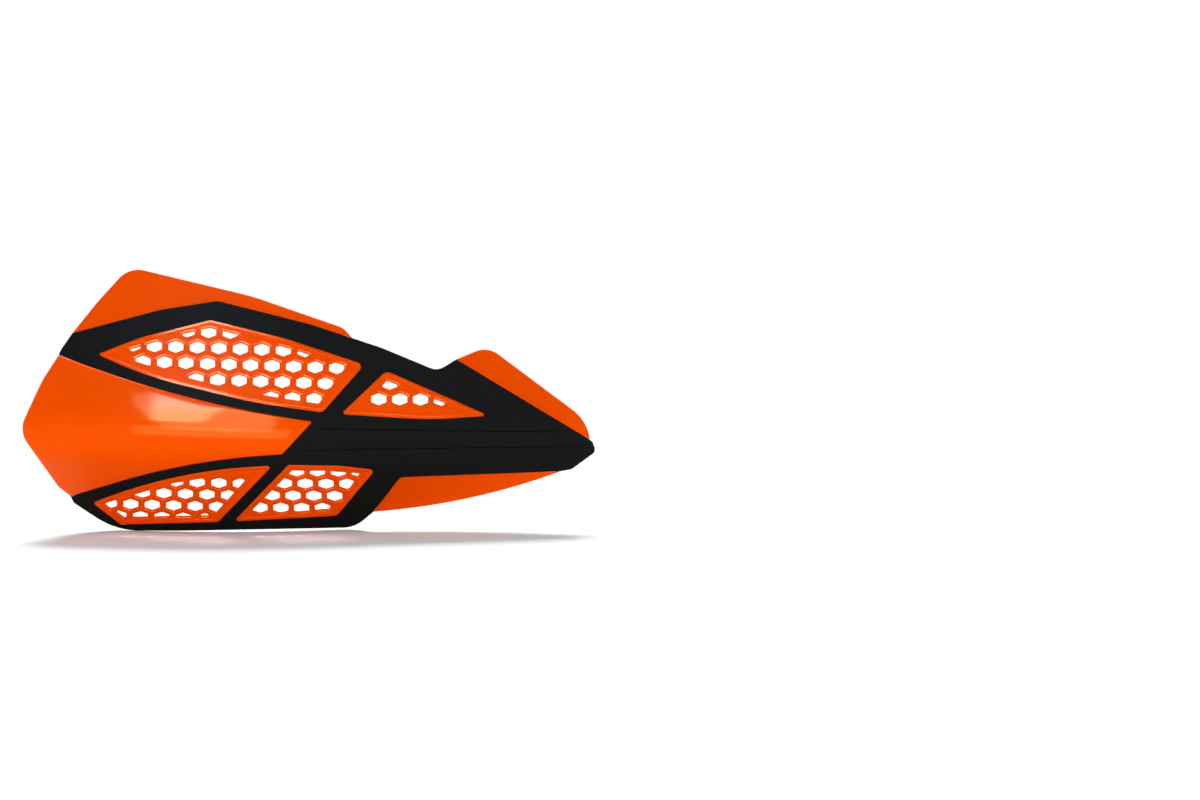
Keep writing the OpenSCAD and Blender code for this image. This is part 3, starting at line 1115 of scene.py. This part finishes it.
# Stage: a pale floor, a dome, lamps in front that only gloss or only matt surfaces see, and a sun
# behind, which throws the shadow
FLOOR_Z = cad_box[0].z
FLOOR_SIZE = 60
FLOOR_COLOUR = (0.81, 0.88, 0.885, 1)
FLOOR_ROUGHNESS = 0.9
FLOOR_GLOW = 0.16
DOME = 0.25
WHITE = (1, 1, 1, 1)

# Gloss sees a studio that is dim in front of the guard and white behind it, from this far back on
STUDIO_DIM = 0.15
STUDIO_WHITE = 1.0
STUDIO_BACK = 0.7


def floor_material():
    """A matt floor, to which a glow that only the camera sees is added."""
    material, nodes, links, shader = new_material("floor_white")
    shader.inputs["Base Color"].default_value = FLOOR_COLOUR
    shader.inputs["Roughness"].default_value = FLOOR_ROUGHNESS
    shader.inputs["Specular IOR Level"].default_value = 0.0
    glow = add_node(nodes, "ShaderNodeEmission", {"Strength": FLOOR_GLOW})
    path = nodes.new("ShaderNodeLightPath")
    both = nodes.new("ShaderNodeAddShader")
    links.new(shader.outputs[0], both.inputs[0])
    links.new(glow.outputs[0], both.inputs[1])
    camera_ray = path.outputs["Is Camera Ray"]
    seen = mixed(nodes, links, camera_ray, shader.outputs[0], both.outputs[0])
    links.new(seen, nodes["Material Output"].inputs["Surface"])
    return material


bpy.ops.mesh.primitive_plane_add(size=FLOOR_SIZE, location=(0, 0, FLOOR_Z))
floor = bpy.context.object
floor.name = "floor"
floor.data.materials.append(floor_material())

world = bpy.data.worlds.new("studio")
bpy.context.scene.world = world
world.use_nodes = True
nodes, links = world.node_tree.nodes, world.node_tree.links
dome = nodes["Background"]
dome.inputs["Color"].default_value = WHITE
dome.inputs["Strength"].default_value = DOME
white = add_node(nodes, "ShaderNodeBackground", {"Color": WHITE, "Strength": 1.0})
mirrored = add_node(nodes, "ShaderNodeBackground", {"Color": WHITE})
place = nodes.new("ShaderNodeTexCoord")
parts = nodes.new("ShaderNodeSeparateXYZ")
studio = add_node(nodes, "ShaderNodeMapRange", {
    "From Min": 0.0, "From Max": STUDIO_BACK, "To Min": STUDIO_DIM, "To Max": STUDIO_WHITE,
})
studio.interpolation_type = "SMOOTHSTEP"
links.new(place.outputs["Generated"], parts.inputs[0])
links.new(parts.outputs["Y"], studio.inputs["Value"])
links.new(studio.outputs["Result"], mirrored.inputs["Strength"])

path = nodes.new("ShaderNodeLightPath")
through = nodes.new("ShaderNodeMath")
through.operation = "MAXIMUM"
links.new(path.outputs["Is Camera Ray"], through.inputs[0])
links.new(path.outputs["Is Transmission Ray"], through.inputs[1])
glossy_ray = path.outputs["Is Glossy Ray"]
lit = mixed(nodes, links, glossy_ray, dome.outputs[0], mirrored.outputs[0])
seen = mixed(nodes, links, through.outputs[0], lit, white.outputs[0])
links.new(seen, nodes["World Output"].inputs["Surface"])

# Lamps in front of the guard: name, bearing and elevation in degrees, distance, size, radiance,
# colour, and whether only gloss or only matt surfaces see it. The softbox and the brighter one in it
# are mirrored in the centre panel. A dimmer twin of the softbox and a low, wide fill light the rest.
PANEL_MIDDLE = Vector((-0.12, -0.045, 0.01))
GLOSS, MATT = True, False
lamps = [
    ("softbox", 1.5, 45, 1.5, (0.93, 1.9), 21.0, (0.6, 1.0, 1.4), GLOSS),
    ("softbox_core", -11, 56, 1.45, (0.4, 1.3), 46.0, (0.6, 1.0, 2.0), GLOSS),
    ("front", 0, 8, 1.5, (1.3, 0.6), 12.0, (0.8, 1.0, 1.2), GLOSS),
    ("softbox_matt", 0, 44, 1.5, (0.86, 1.87), 0.8, (1.0, 1.0, 1.0), MATT),
    ("fill", 0, 6, 3.0, (3.0, 0.5), 9.7, (1.0, 1.0, 1.0), MATT),
]

SUN_WIDTH = math.radians(25)
SUN_ENERGY = 3.2
SUN_DIRECTION = Vector((0, -0.62, -0.78))


def aimed(name, light, direction):
    """A lamp that shines along a direction."""
    lamp = linked(name, light)
    lamp.rotation_mode = "QUATERNION"
    lamp.rotation_quaternion = direction.to_track_quat("-Z", "Y")
    return lamp


def area_light(name, bearing, elevation, distance, size, radiance, colour, gloss):
    """A rectangular lamp that faces the middle of the panel from in front of the guard."""
    light = bpy.data.lights.new(name, "AREA")
    light.shape = "RECTANGLE"
    light.size, light.size_y = size
    light.color = colour
    light.energy = radiance * math.pi * size[0] * size[1]
    bearing, elevation = math.radians(bearing), math.radians(elevation)
    level = math.cos(elevation)
    towards = Vector((level * math.sin(bearing), -level * math.cos(bearing), math.sin(elevation)))
    lamp = aimed(name, light, -towards)
    lamp.location = PANEL_MIDDLE + distance * towards
    lamp.visible_glossy = gloss
    lamp.visible_diffuse = not gloss


for lamp in lamps:
    area_light(*lamp)

sun = bpy.data.lights.new("behind", "SUN")
sun.angle = SUN_WIDTH
sun.energy = SUN_ENERGY
aimed("behind", sun, SUN_DIRECTION)

# Camera: middle of the view in the plane, width of the view, distance from the middle of the guard,
# how far that lies out of the plane, and the sensor
VIEW_X = 70.0
VIEW_V = 23.0
VIEW_W = 600.0
DISTANCE = 10000.0
MID_DEPTH = 25.0
SENSOR = 36

camera = bpy.data.cameras.new("camera")
camera.sensor_width = SENSOR
camera.lens = SENSOR * DISTANCE / VIEW_W
viewer = linked("camera", camera)
eye = VIEW_X * ACROSS + VIEW_V * UP + (MID_DEPTH + DISTANCE) * OUT
axes = Matrix([[*v] for v in np.stack([ACROSS, UP, OUT], 1)]).to_4x4()
viewer.matrix_world = Matrix.Translation(Vector(eye * MM)) @ axes
bpy.context.scene.camera = viewer
bpy.context.scene.view_settings.view_transform = "Standard"
